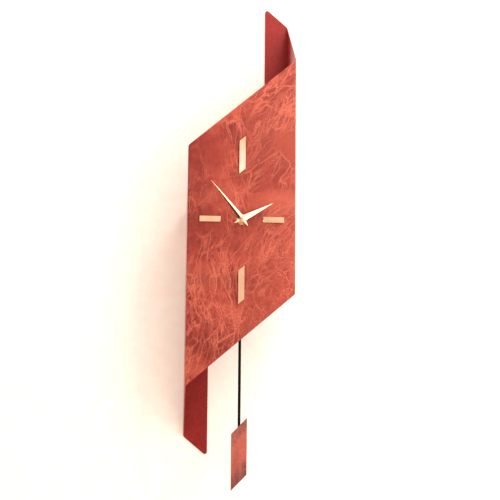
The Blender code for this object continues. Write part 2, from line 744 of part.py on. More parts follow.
def build_rear_cover():
    """A flat lid with a lip that drops into the drive bay."""
    back, front = COVER
    root = front - 0.5 * MM
    corner, knob_hole, play, rim = 2.5 * MM, 1.6 * MM, 0.4 * MM, 1.2 * MM
    outline = round_box(-HOUSING_HALF, HOUSING_HALF, HOUSING_BOTTOM, BAY_SPLIT[1], corner)
    skin = plate([outline, circle(knob_hole, KNOB_AT, 20)], back, front)
    side = HOUSING_HALF - HOUSING_WALL - play
    low, high = HOUSING_BOTTOM + HOUSING_WALL + play, DRIVE_SPLIT[0] - play
    lip_end, hanger_end, core_end = 68.4 * MM, 69.8 * MM, 70 * MM
    outside = box_loop(-side, side, low, high)
    inside = box_loop(rim - side, side - rim, low + rim, high - rim)
    core_radius = DRIVE_COIL[0] - 0.5 * MM
    joins = [
        plate([outside, inside], root, lip_end),
        plate(hanger_rings(), root, hanger_end),
        pin(core_radius, root, core_end, (0, ROCKER_AT[1] + MAGNET_DROP), 20),
    ]
    piece("rear_cover", skin, "black_plastic", joins=joins)


def build_bridge():
    """The plate over the train, on three posts."""
    left, right, low, high = -23 * MM, 24 * MM, -27.5 * MM, 9 * MM
    notch_x, notch_y = -17.5 * MM, -11 * MM
    outline = [(left, high), (left, notch_y), (notch_x, notch_y), (notch_x, low), (right, low)]
    outline.append((right, high))
    holes = [circle(CENTRE_BORE, at, 16) for at in (CENTRE_AT, KNOB_AT)]
    holes += [circle(PIVOT_BORE, at, 12) for at in (THIRD_AT, SECOND_AT, INTERMEDIATE_AT, ROTOR_AT)]
    radius, back, front = BRIDGE_POST
    posts = [pin(radius, back, front, at, 16) for at in BRIDGE_POSTS]
    piece("train_bridge", plate([outline, *holes], *BRIDGE), "white_plastic", joins=posts)


def build_motor():
    """The stepping motor: a plate with the rotor in its eye, and a coil round its far limb."""
    x, y = ROTOR_AT
    left, right, low, high = -24.5 * MM, x + 4.6 * MM, -25.7 * MM, -13 * MM
    limb, yoke, clear = 3 * MM, 2.2 * MM, 5 * MM
    window = box_loop(left + limb, x - clear, low + yoke, high - yoke)
    eye = circle(STATOR_EYE, (x, y), 24)
    frame = box_loop(left, right, low, high)
    piece("stator", plate([frame, window, eye], *STATOR), "steel")

    centre = left + limb / 2
    half, core, core_gap, end_gap = 3.8 * MM, 1.9 * MM, 0.4 * MM, 2.7 * MM
    outer = box_loop(centre - half, centre + half, *MOTOR_COIL)
    bore = box_loop(centre - core, centre + core, STATOR[0] - core_gap, STATOR[1] + core_gap)
    piece("motor_coil", upright([outer, bore], low + end_gap, high - end_gap), "copper")


def build_board():
    """The circuit board with its chip, and the quartz crystal beside it."""
    back, front = BOARD
    left, right, low, high = -26.8 * MM, -9.5 * MM, -27.8 * MM, -12.5 * MM
    chip_radius, chip_back, chip_at = 3 * MM, back - 1 * MM, (-17 * MM, -17.5 * MM)
    chip = pin(chip_radius, chip_back, back + 2 * OVERLAP, chip_at, 20)
    board = plate([box_loop(left, right, low, high)], back, front)
    piece("circuit_board", board, "board", joins=[chip])
    radius, length = CRYSTAL
    crystal_at = (-18 * MM, -24.5 * MM, back - 1.4 * MM)
    crystal = swapped(pin(radius, -length / 2, length / 2, steps=16), (2, 1, 0))
    piece("quartz_crystal", crystal, "steel", crystal_at)


def build_contacts():
    """Sprung strips at both ends of the cell."""
    side = HOUSING_HALF - HOUSING_WALL - GAP
    face = BATTERY_LENGTH / 2 + 1.5 * GAP
    tail, root = CONTACT_DEPTHS
    back, strip = tail + CONTACT_STRIP, CONTACT_STRIP
    bend = [(face, root), (face + strip, root), (face + strip, back)]
    bend += [(side, back), (side, tail), (face, tail)]
    for name, way in (("positive_contact", 1), ("negative_contact", -1)):
        piece(name, upright([[(way * x, z) for x, z in bend]], *CONTACT_HEIGHTS), "steel")


def build_battery():
    """An AA cell with its cap at the right."""
    cap_radius, cap = BATTERY_CAP
    half, radius, rim = BATTERY_LENGTH / 2, BATTERY_RADIUS, BATTERY_RIM
    profile = [(0, half), (cap_radius, half), (cap_radius, half - cap)]
    profile += [(radius - rim, half - cap), (radius, half - cap - rim)]
    profile += [(radius, rim - half), (radius - rim, -half), (0, -half)]
    cell = swapped(turned(profile, steps=32), (2, 1, 0))
    piece("battery", cell, "cell", BATTERY_AT)


# ---------------------------------------------------------------- pendulum


def build_pendulum_drive():
    """What the housing holds: the pivot pin and the drive coil."""
    piece("rocker_pin", pin(PIN_RADIUS, *PIN_DEPTHS), "steel", (*ROCKER_AT, 0))
    coil_at = (0, ROCKER_AT[1] + MAGNET_DROP, 0)
    piece("pendulum_coil", tube(*DRIVE_COIL, *DRIVE_COIL_DEPTHS), "copper", coil_at)


def build_rocker():
    """The swinging hanger: a hub on the pin, an arm, a pad for the magnet and a peg for the rod."""
    back, front = ROCKER_PLATE
    half, corner, foot, head = ROCKER_ARM, 2 * MM, PEG_DROP - 3 * MM, 2 * MM
    arm = plate([round_box(-half, half, foot, head, corner)], back, front)
    radius, hub_back, hub_front = ROCKER_HUB
    magnet_radius, magnet_back = DRIVE_MAGNET
    magnet_at = (0, MAGNET_DROP)
    peg_radius, peg_back = PEG
    joins = [
        pin(radius, hub_back, hub_front, steps=24),
        pin(magnet_radius + 1 * MM, back + OVERLAP, front - OVERLAP, magnet_at, 24),
        pin(peg_radius, peg_back, front - 0.5 * MM, (0, PEG_DROP), 16),
    ]
    cuts = [hole(PIN_RADIUS + PIN_PLAY, steps=16)]
    piece("pendulum_rocker", arm, "white_plastic", (*ROCKER_AT, 0), joins=joins, cuts=cuts)
    magnet = pin(magnet_radius, magnet_back, back - GAP, magnet_at, 24)
    piece("drive_magnet", magnet, "magnet", (*ROCKER_AT, 0))


def build_rod():
    """A flat strip with a round eye that hangs on the rocker's peg."""
    bore, eye = ROD_EYE
    half = ROD_WIDTH / 2
    neck = PEG_DROP - sqrt(eye**2 - half**2) - 3 * MM
    loop = [(-half, neck), (-half, ROD_END), (half, ROD_END), (half, neck)]
    start = -pi / 2 + half / eye
    sweep = 2 * pi - 2 * half / eye
    steps = 16
    for step in range(steps + 1):
        angle = start + sweep * step / steps
        loop.append((eye * cos(angle), PEG_DROP + eye * sin(angle)))
    rod = plate([loop, circle(bore, (0, PEG_DROP), 16)], *ROD)
    piece("pendulum_rod", rod, "black_metal", (*ROCKER_AT, 0))


def build_bob():
    """The slanted bob, and the clip on its back that the rod runs through."""
    place = (ROCKER_AT[0], ROCKER_AT[1] + BOB_DROP, 0)
    bob = plate([slanted_box(BOB_WIDTH, BOB_SIDE, 1.0)], *BOB)
    bevelled(piece("pendulum_bob", bob, "red", place), BOB_EDGE)

    foot, half_height = CLIP_HALF
    wall = CLIP_WALL
    inner, crown, front = ROD_WIDTH / 2 + 0.5 * MM, ROD[0] - GAP, BOB[0] - GAP
    right = [(inner, crown), (inner, front), (foot, front), (foot, front - wall)]
    right += [(inner + wall, front - wall), (inner + wall, crown - wall)]
    left = [(-x, z) for x, z in reversed(right)]
    piece("bob_clip", upright([right + left], -half_height, half_height), "black_metal", place)


build_case()
build_markers()
build_hand("hour_hand", HOUR_HAND, HOUR_HAND_BACK, HOUR_TURN, HOUR_TUBE[1] + GAP)
build_hand("minute_hand", MINUTE_HAND, MINUTE_HAND_BACK, MINUTE_TURN, ARBOR_RADIUS + GAP)
build_hand_nut()
build_fixings()
build_train()
build_rotor()
build_motion_work()
build_setting_knob()
build_housing()
build_rear_cover()
build_bridge()
build_motor()
build_board()
build_contacts()
build_battery()
build_pendulum_drive()
build_rocker()
build_rod()
build_bob()
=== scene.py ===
"""Looks of the pendulum wall clock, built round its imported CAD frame.

The frame's axes: x to the viewer's right, z up, -y out of the wall. Lengths are metres.
"""

from math import cos, pi, radians, sin, tan

import bmesh
import bpy
from mathutils import Matrix, Vector


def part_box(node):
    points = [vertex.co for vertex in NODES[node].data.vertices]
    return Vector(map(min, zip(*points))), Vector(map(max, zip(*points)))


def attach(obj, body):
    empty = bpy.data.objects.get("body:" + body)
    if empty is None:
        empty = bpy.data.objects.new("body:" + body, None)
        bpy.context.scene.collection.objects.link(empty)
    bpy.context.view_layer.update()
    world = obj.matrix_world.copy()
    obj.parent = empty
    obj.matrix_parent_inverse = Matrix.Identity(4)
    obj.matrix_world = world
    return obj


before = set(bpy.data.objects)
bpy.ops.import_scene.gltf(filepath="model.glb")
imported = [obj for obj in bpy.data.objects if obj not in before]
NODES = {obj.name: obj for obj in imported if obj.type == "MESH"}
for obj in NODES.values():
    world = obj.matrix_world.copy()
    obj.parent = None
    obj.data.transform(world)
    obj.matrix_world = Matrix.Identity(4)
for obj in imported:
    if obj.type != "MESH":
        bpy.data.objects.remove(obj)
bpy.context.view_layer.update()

MM = 0.001

# The Mix node's sockets for a colour: (share, first, second), and its result.
MIX_COLOUR_SOCKETS = (0, 6, 7)
MIX_COLOUR_RESULT = 2

# The face of the case: its plane, half its width, its upright sides and the slant of its other two.
CASE_LOW, CASE_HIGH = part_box("case_ribbon")
FACE_Y = CASE_LOW.y
HALF_FACE = CASE_HIGH.x
UPRIGHT_SIDE = 308 * MM
SLANT = radians(40)

# The viewpoint: the lens in millimetres, the turns, and the place in face widths from the face's
# lower left corner.
LENS = 60.24
YAW, PITCH, ROLL = -0.09014, 0.08398, -0.00882
FROM_CORNER = (-0.1104, -7.6187, 0.5947)

# Where the lacquer is paler or deeper, partly uneven tone and partly painted light towards the lit right
# side and painted shade towards the left: (centre, reach, share) on the unfolded sheet.
PALE_TONE_AND_PAINTED_LIGHT_POOLS = (
    ((0.060, 0.022), (0.060, 0.022), 0.30),
    ((-0.055, -0.076), (0.050, 0.022), 0.22),
    ((0.060, 0.120), (0.070, 0.060), 0.10),
)
DEEP_TONE_AND_PAINTED_SHADE_POOLS = (
    ((-0.066, 0.030), (0.040, 0.060), 0.45),
    ((-0.050, -0.030), (0.050, 0.026), 0.30),
    ((0.020, -0.140), (0.060, 0.040), 0.25),
)


# ------------------------------------------------------------ node shorthand


def srgb(red, green, blue):
    """A linear colour from the 0-255 values a screen shows."""
    shares = (red / 255, green / 255, blue / 255)
    linear = [c / 12.92 if c <= 0.04045 else ((c + 0.055) / 1.055) ** 2.4 for c in shares]
    return (*linear, 1.0)


class Nodes:
    """A node tree under construction, with short calls for its nodes."""

    def __init__(self, tree):
        self.tree = tree

    def feed(self, socket, value):
        if isinstance(value, bpy.types.NodeSocket):
            self.tree.links.new(value, socket)
        else:
            socket.default_value = value

    def add(self, kind, **settings):
        node = self.tree.nodes.new(kind)
        for name, value in settings.items():
            setattr(node, name, value)
        return node

    def place(self):
        """The point's position in the clock's frame."""
        return self.add("ShaderNodeTexCoord").outputs["Object"]

    def split(self, vector):
        node = self.add("ShaderNodeSeparateXYZ")
        self.feed(node.inputs[0], vector)
        return node.outputs

    def join(self, x=0.0, y=0.0, z=0.0):
        node = self.add("ShaderNodeCombineXYZ")
        for socket, value in zip(node.inputs, (x, y, z)):
            self.feed(socket, value)
        return node.outputs[0]

    def math(self, operation, first, second=0.0, third=0.0):
        node = self.add("ShaderNodeMath", operation=operation)
        for socket, value in zip(node.inputs, (first, second, third)):
            self.feed(socket, value)
        return node.outputs[0]

    def vector(self, operation, first, second=(0, 0, 0), scale=None):
        node = self.add("ShaderNodeVectorMath", operation=operation)
        self.feed(node.inputs[0], first)
        self.feed(node.inputs[1], second)
        if scale is not None:
            self.feed(node.inputs["Scale"], scale)
        return node.outputs[0]

    def noise(self, place, scale, detail=2.0, roughness=0.5, colour=False, flat=True):
        node = self.add("ShaderNodeTexNoise", noise_dimensions="2D" if flat else "3D")
        self.feed(node.inputs["Vector"], place)
        self.feed(node.inputs["Scale"], scale)
        self.feed(node.inputs["Detail"], detail)
        self.feed(node.inputs["Roughness"], roughness)
        return node.outputs["Color" if colour else "Fac"]

    def cracks(self, place, scale):
        """The distance to the nearest edge between flat cells."""
        node = self.add("ShaderNodeTexVoronoi", voronoi_dimensions="2D", feature="DISTANCE_TO_EDGE")
        self.feed(node.inputs["Vector"], place)
        self.feed(node.inputs["Scale"], scale)
        return node.outputs["Distance"]

    def span(self, value, low, high, start=0.0, end=1.0, smooth=True):
        """Maps low..high to start..end, and stops there."""
        node = self.add("ShaderNodeMapRange", clamp=True)
        node.interpolation_type = "SMOOTHSTEP" if smooth else "LINEAR"
        self.feed(node.inputs["Value"], value)
        self.feed(node.inputs["From Min"], low)
        self.feed(node.inputs["From Max"], high)
        self.feed(node.inputs["To Min"], start)
        self.feed(node.inputs["To Max"], end)
        return node.outputs["Result"]

    def mix(self, share, first, second):
        """A colour that goes from the first to the second as the share goes from 0 to 1."""
        node = self.add("ShaderNodeMix", data_type="RGBA")
        for index, value in zip(MIX_COLOUR_SOCKETS, (share, first, second)):
            self.feed(node.inputs[index], value)
        return node.outputs[MIX_COLOUR_RESULT]

    def bump(self, height, strength, distance):
        node = self.add("ShaderNodeBump")
        self.feed(node.inputs["Height"], height)
        self.feed(node.inputs["Strength"], strength)
        self.feed(node.inputs["Distance"], distance)
        return node.outputs["Normal"]


class Look(Nodes):
    """A material under construction."""

    def __init__(self, name, **constants):
        self.material = bpy.data.materials.new(name)
        self.material.use_nodes = True
        super().__init__(self.material.node_tree)
        self.shader = self.tree.nodes["Principled BSDF"]
        for socket, value in constants.items():
            self.set(socket.replace("_", " "), value)

    def set(self, socket, value):
        """Links a socket of the shader, or gives it a constant."""
        self.feed(self.shader.inputs[socket], value)


# ------------------------------------------------------------------ looks


def sheet_place(look):
    """(run, height) on the sheet, laid flat from the face over the sides. A rear flange mirrors its side."""
    x, y, z = look.split(look.place())
    side = look.math("SIGN", x)
    run = look.math("MULTIPLY_ADD", side, look.math("SUBTRACT", y, FACE_Y), x)
    return run, z


def shifted(look, place, seed):
    """The same place in another part of the endless pattern."""
    return look.vector("ADD", place, (seed * 3.7, seed * 6.1, 0))


def warped(look, place, scale, reach, detail):
    """A place pushed about by noise."""
    push = look.vector("SUBTRACT", look.noise(place, scale, detail, colour=True), (0.5, 0.5, 0.5))
    return look.vector("ADD", place, look.vector("SCALE", push, scale=reach))


def laid(look, place, angle, along, across):
    """A place turned by an angle, then drawn out along one of its axes."""
    run, height, _ = look.split(place)
    c, s = cos(angle), sin(angle)
    first = look.math("MULTIPLY_ADD", run, c, look.math("MULTIPLY", height, s))
    second = look.math("MULTIPLY_ADD", run, -s, look.math("MULTIPLY", height, c))
    return look.join(look.math("MULTIPLY", first, along), look.math("MULTIPLY", second, across))


def lightest(look, values):
    best = values[0]
    for value in values[1:]:
        best = look.math("MAXIMUM", best, value)
    return best


def tangle(look, place, scale, seed, count, width):
    """Winding hairs that cross: where soft noises pass their middle value, fading in and out."""
    hairs = []
    for k in range(count):
        height = look.noise(shifted(look, place, seed + k), scale * (1 + 0.22 * k), 1.0, 0.45)
        off = look.math("ABSOLUTE", look.math("SUBTRACT", height, 0.5))
        hair = look.span(off, 0.0, width * (1 - 0.1 * k), 1.0, 0.0)
        fade = look.noise(shifted(look, place, seed + 40 + k), scale * 0.8, 1.0)
        hairs.append(look.math("MULTIPLY", hair, look.span(fade, 0.34, 0.62, 0.15, 1.0)))
    return lightest(look, hairs)


def web(look, place, scale, seed, width):
    """Branching veins between cells, swelling and fading along their length."""
    near = look.cracks(shifted(look, place, seed), scale)
    swell = look.noise(shifted(look, place, seed + 20), scale * 0.35, 1.0)
    swell = look.span(swell, 0.32, 0.64, 0.25, 1.0)
    vein = look.span(look.math("DIVIDE", near, swell), 0.0, width, 1.0, 0.0)
    return look.math("MULTIPLY", vein, look.span(swell, 0.25, 0.8, 0.25, 1.0))


def marbling(look, run, height):
    """(cloud, veins, zone) of the marbled lacquer, each from 0 to 1."""
    place = look.join(run, height)
    bent = warped(look, place, 9.0, 0.020, 1.0)
    crisp = warped(look, bent, 60.0, 0.0055, 3.0)
    ragged = look.noise(look.place(), 500.0, 3.0, 0.7, flat=False)

    def drawn(lean, along, across, seed):
        turn = radians(lean)
        fine = web(look, laid(look, crisp, turn, along, across), 106.0, seed, 0.12)
        coarse = web(look, laid(look, crisp, turn + 0.2, along, across), 54.0, seed + 5, 0.072)
        hairs = tangle(look, laid(look, crisp, turn + 0.1, along, across), 56.0, seed, 3, 0.046)
        return lightest(look, [look.math("MULTIPLY", fine, 0.5), coarse, hairs])

    everywhere = (height, 0.2, -0.2, 1.0, 1.0)
    low_down = (height, 0.0, -0.06, 0.4, 1.0)
    high_up = (height, -0.08, 0.02, 0.4, 1.0)
    families = (
        ((4, 1.0, 0.24, 3), (run, -0.01, 0.03, 1.0, 0.1), everywhere),
        ((-24, 1.0, 0.28, 13), (run, 0.00, 0.05, 1.0, 0.1), low_down),
        ((40, 0.28, 1.0, 23), (run, -0.04, 0.03, 0.1, 1.0), high_up),
        ((64, 0.28, 1.0, 53), (run, -0.02, 0.04, 0.1, 1.0), everywhere),
        ((15, 0.9, 1.0, 33), (run, -0.06, -0.01, 0.1, 1.0), (height, 0.0, -0.05, 0.1, 1.0)),
    )
    veins = zones = 0.0
    for number, (shape, by_run, by_height) in enumerate(families):
        patch = look.noise(shifted(look, place, 60 + number), 12.0, 2.0, 0.5)
        zone = look.math("MULTIPLY", look.span(*by_run), look.span(*by_height))
        zone = look.math("MULTIPLY", zone, look.span(patch, 0.36, 0.56, 0.12, 1.0))
        zones = look.math("MAXIMUM", zone, zones)
        veins = look.math("MAXIMUM", look.math("MULTIPLY", drawn(*shape), zone), veins)
    across, up, _ = look.split(bent)
    cloud = look.noise(look.join(look.math("MULTIPLY", across, 0.55), up), 15.0, 6.0, 0.58)
    veins = look.math("MULTIPLY", veins, look.span(ragged, 0.36, 0.58, 0.35, 1.0))
    return cloud, veins, zones


def pool(look, run, height, centre, reach):
    """A soft oval spot: 1 at its centre and 0 from its edge on."""
    across = look.math("MULTIPLY_ADD", run, 1 / reach[0], -centre[0] / reach[0])
    up = look.math("MULTIPLY_ADD", height, 1 / reach[1], -centre[1] / reach[1])
    off = look.math("MULTIPLY_ADD", across, across, look.math("MULTIPLY", up, up))
    return look.span(off, 0.0, 1.0, 1.0, 0.0)


def lacquer(name, dark, base, light, **constants):
    """(look, colour, cloud, veins) of the marbled lacquer: veins over a ground that is deeper by them, with
    painted shade to the left and painted light to the right.
    """
    look = Look(name, **constants)
    run, height = sheet_place(look)
    cloud, veins, zone = marbling(look, run, height)
    depth = look.math("MULTIPLY", look.span(zone, 0, 1, 0.35, 1.0), look.span(cloud, 0.38, 0.60, 1, 0))
    mottle = look.noise(look.place(), 150.0, 5.0, 0.72, flat=False)
    depth = look.math("ADD", depth, look.span(mottle, 0.35, 0.65, -0.24, 0.24, smooth=False))
    # painted shade and light: the ground is deeper towards the left edge and paler towards the right, as the
    # light from the right falls
    depth = look.math("ADD", depth, look.span(run, -HALF_FACE, HALF_FACE, 0.26, -0.14, smooth=False))
    # the deep pools are partly deeper lacquer and partly painted shade on the left
    for centre, reach, share in DEEP_TONE_AND_PAINTED_SHADE_POOLS:
        depth = look.math("MULTIPLY_ADD", pool(look, run, height, centre, reach), share, depth)
    shade = look.mix(look.span(depth, 0.0, 1.0, smooth=False), base, dark)
    # the cloud gives paler patches of the lacquer; the run adds painted light towards the right edge
    paleness_and_painted_light = look.math("ADD", look.span(cloud, 0.52, 0.72, 0.0, 0.30), look.span(run, -0.02, 0.07, 0.0, 0.12))
    for centre, reach, share in PALE_TONE_AND_PAINTED_LIGHT_POOLS:
        paleness_and_painted_light = look.math("MULTIPLY_ADD", pool(look, run, height, centre, reach), share, paleness_and_painted_light)
    shade = look.mix(paleness_and_painted_light, shade, light)
    colour = look.mix(look.math("MULTIPLY", veins, 0.85), shade, light)
    return look, colour, cloud, veins


def wave_lacquer(look, strength):
    """Gives a look the faint waves of sprayed lacquer."""
    peel = look.noise(look.place(), 900.0, 2.0, flat=False)
    look.set("Normal", look.bump(peel, strength, 0.2 * MM))


def case_look():
    """Marbled on the sheet's outer side and plain on its inner side."""
    look, colour, cloud, veins = lacquer(
        "case_lacquer",
        srgb(116, 31, 23),
        srgb(148, 49, 37),
        srgb(204, 104, 82),
        Metallic=0.0,
        Specular_IOR_Level=0.25,
    )
    x, y, _ = look.split(look.place())
    # A point that is less than this under an outer face is on the outer side.
    skin = 0.65 * MM
    outside = lightest(
        look,
        [
            look.math("SUBTRACT", look.math("ABSOLUTE", x), HALF_FACE - skin),
            look.math("SUBTRACT", FACE_Y + skin, y),
            look.math("ADD", y, skin),
        ],
    )
    outer = look.math("GREATER_THAN", outside, 0.0)
    speck = look.noise(look.place(), 260.0, 5.0, 0.6, flat=False)
    inner = look.mix(look.span(speck, 0.3, 0.7), srgb(128, 20, 16), srgb(146, 28, 22))
    look.set("Base Color", look.mix(outer, inner, colour))
    rough = look.math("MULTIPLY_ADD", veins, 0.08, look.span(cloud, 0.3, 0.7, 0.42, 0.50))
    look.set("Roughness", look.math("MULTIPLY_ADD", outer, look.math("SUBTRACT", rough, 0.5), 0.5))
    wave_lacquer(look, 0.06)
    return look.material


def bob_look():
    """The same marbling under a glossier coat, darker towards both ends: a darker pattern at the top, and a
    painted reflection of the darker floor at the bottom.
    """
    look, colour, cloud, veins = lacquer(
        "bob_lacquer",
        srgb(84, 30, 26),
        srgb(160, 62, 47),
        srgb(206, 114, 92),
        Metallic=0.0,
        Coat_Weight=0.7,
        Coat_Roughness=0.08,
    )
    low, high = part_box("pendulum_bob")
    x, _, z = look.split(look.place())
    uneven = look.math("MULTIPLY_ADD", cloud, 16 * MM, look.math("MULTIPLY_ADD", x, -1.3, z))
    top = look.span(uneven, high.z - 20 * MM, high.z - 12 * MM)
    # painted reflection: the lower end is darkened as the glossy bob would mirror the darker floor below it
    bottom = look.span(uneven, low.z + 44 * MM, low.z + 20 * MM)
    dark_top_and_painted_low_reflection = look.math("MAXIMUM", look.math("MULTIPLY", top, 0.45), look.math("MULTIPLY", bottom, 0.8))
    calm = look.math("MULTIPLY", look.math("SUBTRACT", 1.0, dark_top_and_painted_low_reflection), 0.65)
    body = look.mix(calm, colour, srgb(180, 80, 62))
    # the ends take a dark veined colour: the lacquer's darker pattern at the top, a painted reflection at
    # the bottom
    look.set("Base Color", look.mix(dark_top_and_painted_low_reflection, body, look.mix(veins, srgb(78, 32, 30), srgb(150, 76, 64))))
    look.set("Roughness", look.span(cloud, 0.3, 0.7, 0.20, 0.32))
    wave_lacquer(look, 0.05)
    return look.material


def polished_gold():
    """Warm gold plate with a faint upright grain from polishing."""
    look = Look("polished_gold", Metallic=1.0)
    x, _, z = look.split(look.place())
    grain = look.noise(look.join(x, look.math("MULTIPLY", z, 0.03)), 2600.0, 3.0, 0.6)
    stain = look.noise(look.place(), 70.0, 3.0, 0.55, flat=False)
    look.set("Base Color", look.mix(look.span(stain, 0.35, 0.7), srgb(245, 196, 158), srgb(250, 208, 172)))
    look.set("Roughness", look.span(grain, 0.3, 0.7, 0.07, 0.16))
    look.set("Normal", look.bump(grain, 0.05, 0.02 * MM))
    return look.material


def metal(name, first, second, roughness, scale=400.0, bump=0.05):
    """Machined or drawn metal, with fine streaks."""
    look = Look(name, Metallic=1.0)
    x, y, z = look.split(look.place())
    streak = look.noise(look.join(x, look.math("MULTIPLY", y, 6.0), z), scale, 4.0, 0.6, flat=False)
    blot = look.noise(look.place(), scale * 0.15, 3.0, 0.5, flat=False)
    look.set("Base Color", look.mix(look.span(blot, 0.3, 0.7), first, second))
    look.set("Roughness", look.span(streak, 0.3, 0.7, roughness * 0.75, roughness * 1.25))
    look.set("Normal", look.bump(streak, bump, 0.03 * MM))
    return look.material


def plastic(name, first, second, roughness, grain=2200.0, depth=0.25):
    """Moulded plastic with a spark-eroded grain."""
    look = Look(name, Metallic=0.0)
    spark = look.noise(look.place(), grain, 3.0, 0.6, flat=False)
    cloud = look.noise(look.place(), 60.0, 3.0, 0.5, flat=False)
    look.set("Base Color", look.mix(look.span(cloud, 0.3, 0.7), first, second))
    look.set("Roughness", look.span(spark, 0.3, 0.7, roughness * 0.8, roughness * 1.15))
    look.set("Normal", look.bump(spark, depth, 0.05 * MM))
    return look.material


def winding_look():
    """Enamelled copper wire, laid in fine turns."""
    look = Look("copper_windings", Metallic=1.0)
    wire = 0.12 * MM
    _, y, z = look.split(look.place())
    turns = look.math("SINE", look.math("MULTIPLY", look.math("ADD", y, z), 2 * pi / wire))
    # painted shade: the wire is darker in the grooves between turns and lighter on their crests
    look.set("Base Color", look.mix(look.span(turns, -1, 1), srgb(120, 52, 24), srgb(206, 118, 68)))
    look.set("Roughness", look.span(turns, -1, 1, 0.40, 0.22))
    look.set("Normal", look.bump(turns, 0.4, 0.05 * MM))
    return look.material


def board_look():
    """Green solder mask with paler tracks under it."""
    look = Look("circuit_board_mask", Metallic=0.0, Roughness=0.35)
    x, _, z = look.split(look.place())
    cells = look.cracks(look.join(x, z), 420.0)
    track = look.span(cells, 0.08, 0.14, 1.0, 0.0)
    look.set("Base Color", look.mix(track, srgb(18, 84, 40), srgb(46, 128, 66)))
    look.set("Normal", look.bump(track, 0.3, 0.04 * MM))
    return look.material


def battery_look():
    """A plain two-colour sleeve with bare steel at both ends."""
    look = Look("battery_sleeve")
    low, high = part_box("battery")
    x, _, _ = look.split(look.place())
    sleeve_start, sleeve_end = low.x + 0.5 * MM, high.x - 1.3 * MM
    bare = look.math(
        "MAXIMUM",
        look.math("GREATER_THAN", x, sleeve_end),
        look.math("LESS_THAN", x, sleeve_start),
    )
    band_start = low.x + 0.72 * (high.x - low.x)
    band = look.math("GREATER_THAN", x, band_start)
    scuff = look.noise(look.place(), 240.0, 5.0, 0.65, flat=False)
    sleeve = look.mix(band, srgb(34, 50, 60), srgb(188, 128, 60))
    sleeve = look.mix(look.span(scuff, 0.60, 0.75, 0.0, 0.25), sleeve, srgb(150, 150, 146))
    look.set("Base Color", look.mix(bare, sleeve, srgb(196, 194, 188)))
    look.set("Metallic", look.math("MAXIMUM", bare, look.math("MULTIPLY", band, 0.6)))
    look.set("Roughness", look.span(scuff, 0.3, 0.7, 0.22, 0.36))
    look.set("Normal", look.bump(scuff, 0.05, 0.05 * MM))
    return look.material


def rod_look():
    """Black satin paint on a drawn strip."""
    look = Look("rod_paint", Metallic=0.0, Specular_IOR_Level=0.1)
    x, y, z = look.split(look.place())
    drawn = look.noise(look.join(x, y, look.math("MULTIPLY", z, 0.04)), 1500.0, 3.0, flat=False)
    chips = look.noise(look.place(), 500.0, 4.0, 0.7, flat=False)
    worn = look.span(chips, 0.70, 0.76, 0.0, 0.6)
    look.set("Base Color", look.mix(worn, srgb(5, 3, 4), srgb(60, 54, 55)))
    look.set("Roughness", look.span(drawn, 0.3, 0.7, 0.28, 0.42))
    look.set("Normal", look.bump(drawn, 0.10, 0.04 * MM))
    return look.material


def paint(look, *names):
    """Gives CAD nodes a material."""
    for name in names:
        mesh = NODES[name].data
        mesh.materials.clear()
        mesh.materials.append(look)


def paint_frame():
    """Paints every CAD node, and returns the looks that the mouldings share with them."""
    gold = polished_gold()
    turned_brass = metal("turned_brass", srgb(214, 160, 108), srgb(232, 184, 134), 0.2)
    steel = metal("bright_steel", srgb(150, 150, 152), srgb(188, 188, 190), 0.30)
    nickel = metal("nickel_strip", srgb(190, 184, 172), srgb(214, 210, 200), 0.24)
    magnet = metal("sintered_magnet", srgb(52, 52, 56), srgb(86, 86, 90), 0.42, 900.0, 0.2)
    black = plastic("housing_plastic", srgb(42, 42, 45), srgb(54, 54, 58), 0.44)
    acetal = plastic("natural_acetal", srgb(222, 218, 206), srgb(234, 231, 222), 0.42, 1400.0, 0.08)
    rubber = plastic("washer_rubber", srgb(26, 26, 27), srgb(36, 36, 37), 0.85, 1200.0, 0.3)
    winding = winding_look()
    paint(case_look(), "case_ribbon")
    paint(bob_look(), "pendulum_bob")
    paint(gold, "marker_12", "marker_3", "marker_6", "marker_9")
    paint(gold, "hour_hand", "minute_hand", "hand_nut")
    paint(turned_brass, "fixing_nut", "brass_washer", "threaded_bushing", "hour_wheel")
    paint(steel, "minute_arbor", "stator", "rocker_pin", "quartz_crystal")
    paint(nickel, "positive_contact", "negative_contact")
    paint(magnet, "rotor_magnet", "drive_magnet")
    paint(black, "movement_housing", "rear_cover")
    paint(acetal, "train_bridge", "centre_wheel", "third_wheel", "second_wheel")
    paint(acetal, "intermediate_wheel", "minute_wheel", "rotor_pinion")
    paint(acetal, "setting_knob", "pendulum_rocker")
    paint(rubber, "rubber_washer")
    paint(winding, "motor_coil", "pendulum_coil")
    paint(board_look(), "circuit_board")
    paint(battery_look(), "battery")
    paint(rod_look(), "pendulum_rod", "bob_clip")
    return black, acetal, steel


# ------------------------------------------------------------- new meshes


def mesh_object(name, bm, look):
    """Turns a bmesh into an object in the scene."""
    mesh = bpy.data.meshes.new(name)
    bm.to_mesh(mesh)
    bm.free()
    mesh.materials.append(look)
    made = bpy.data.objects.new(name, mesh)
    bpy.context.scene.collection.objects.link(made)
    return made


def middle_of(low, high):
    """The middle of a box, as (x, z)."""
    return (low.x + high.x) / 2, (low.z + high.z) / 2


# ------------------------------------------------- mouldings on the movement


def centred_box(centre, width, height, radius, steps=5):
    """A box outline with round corners, as (x, z) points."""
    loop = []
    signs = ((1, 1), (-1, 1), (-1, -1), (1, -1))
    for quarter, (right, up) in enumerate(signs):
        x = centre[0] + right * (width / 2 - radius)
        z = centre[1] + up * (height / 2 - radius)
        for step in range(steps + 1):
            angle = pi / 2 * (quarter + step / steps)
            loop.append((x + radius * cos(angle), z + radius * sin(angle)))
    return loop


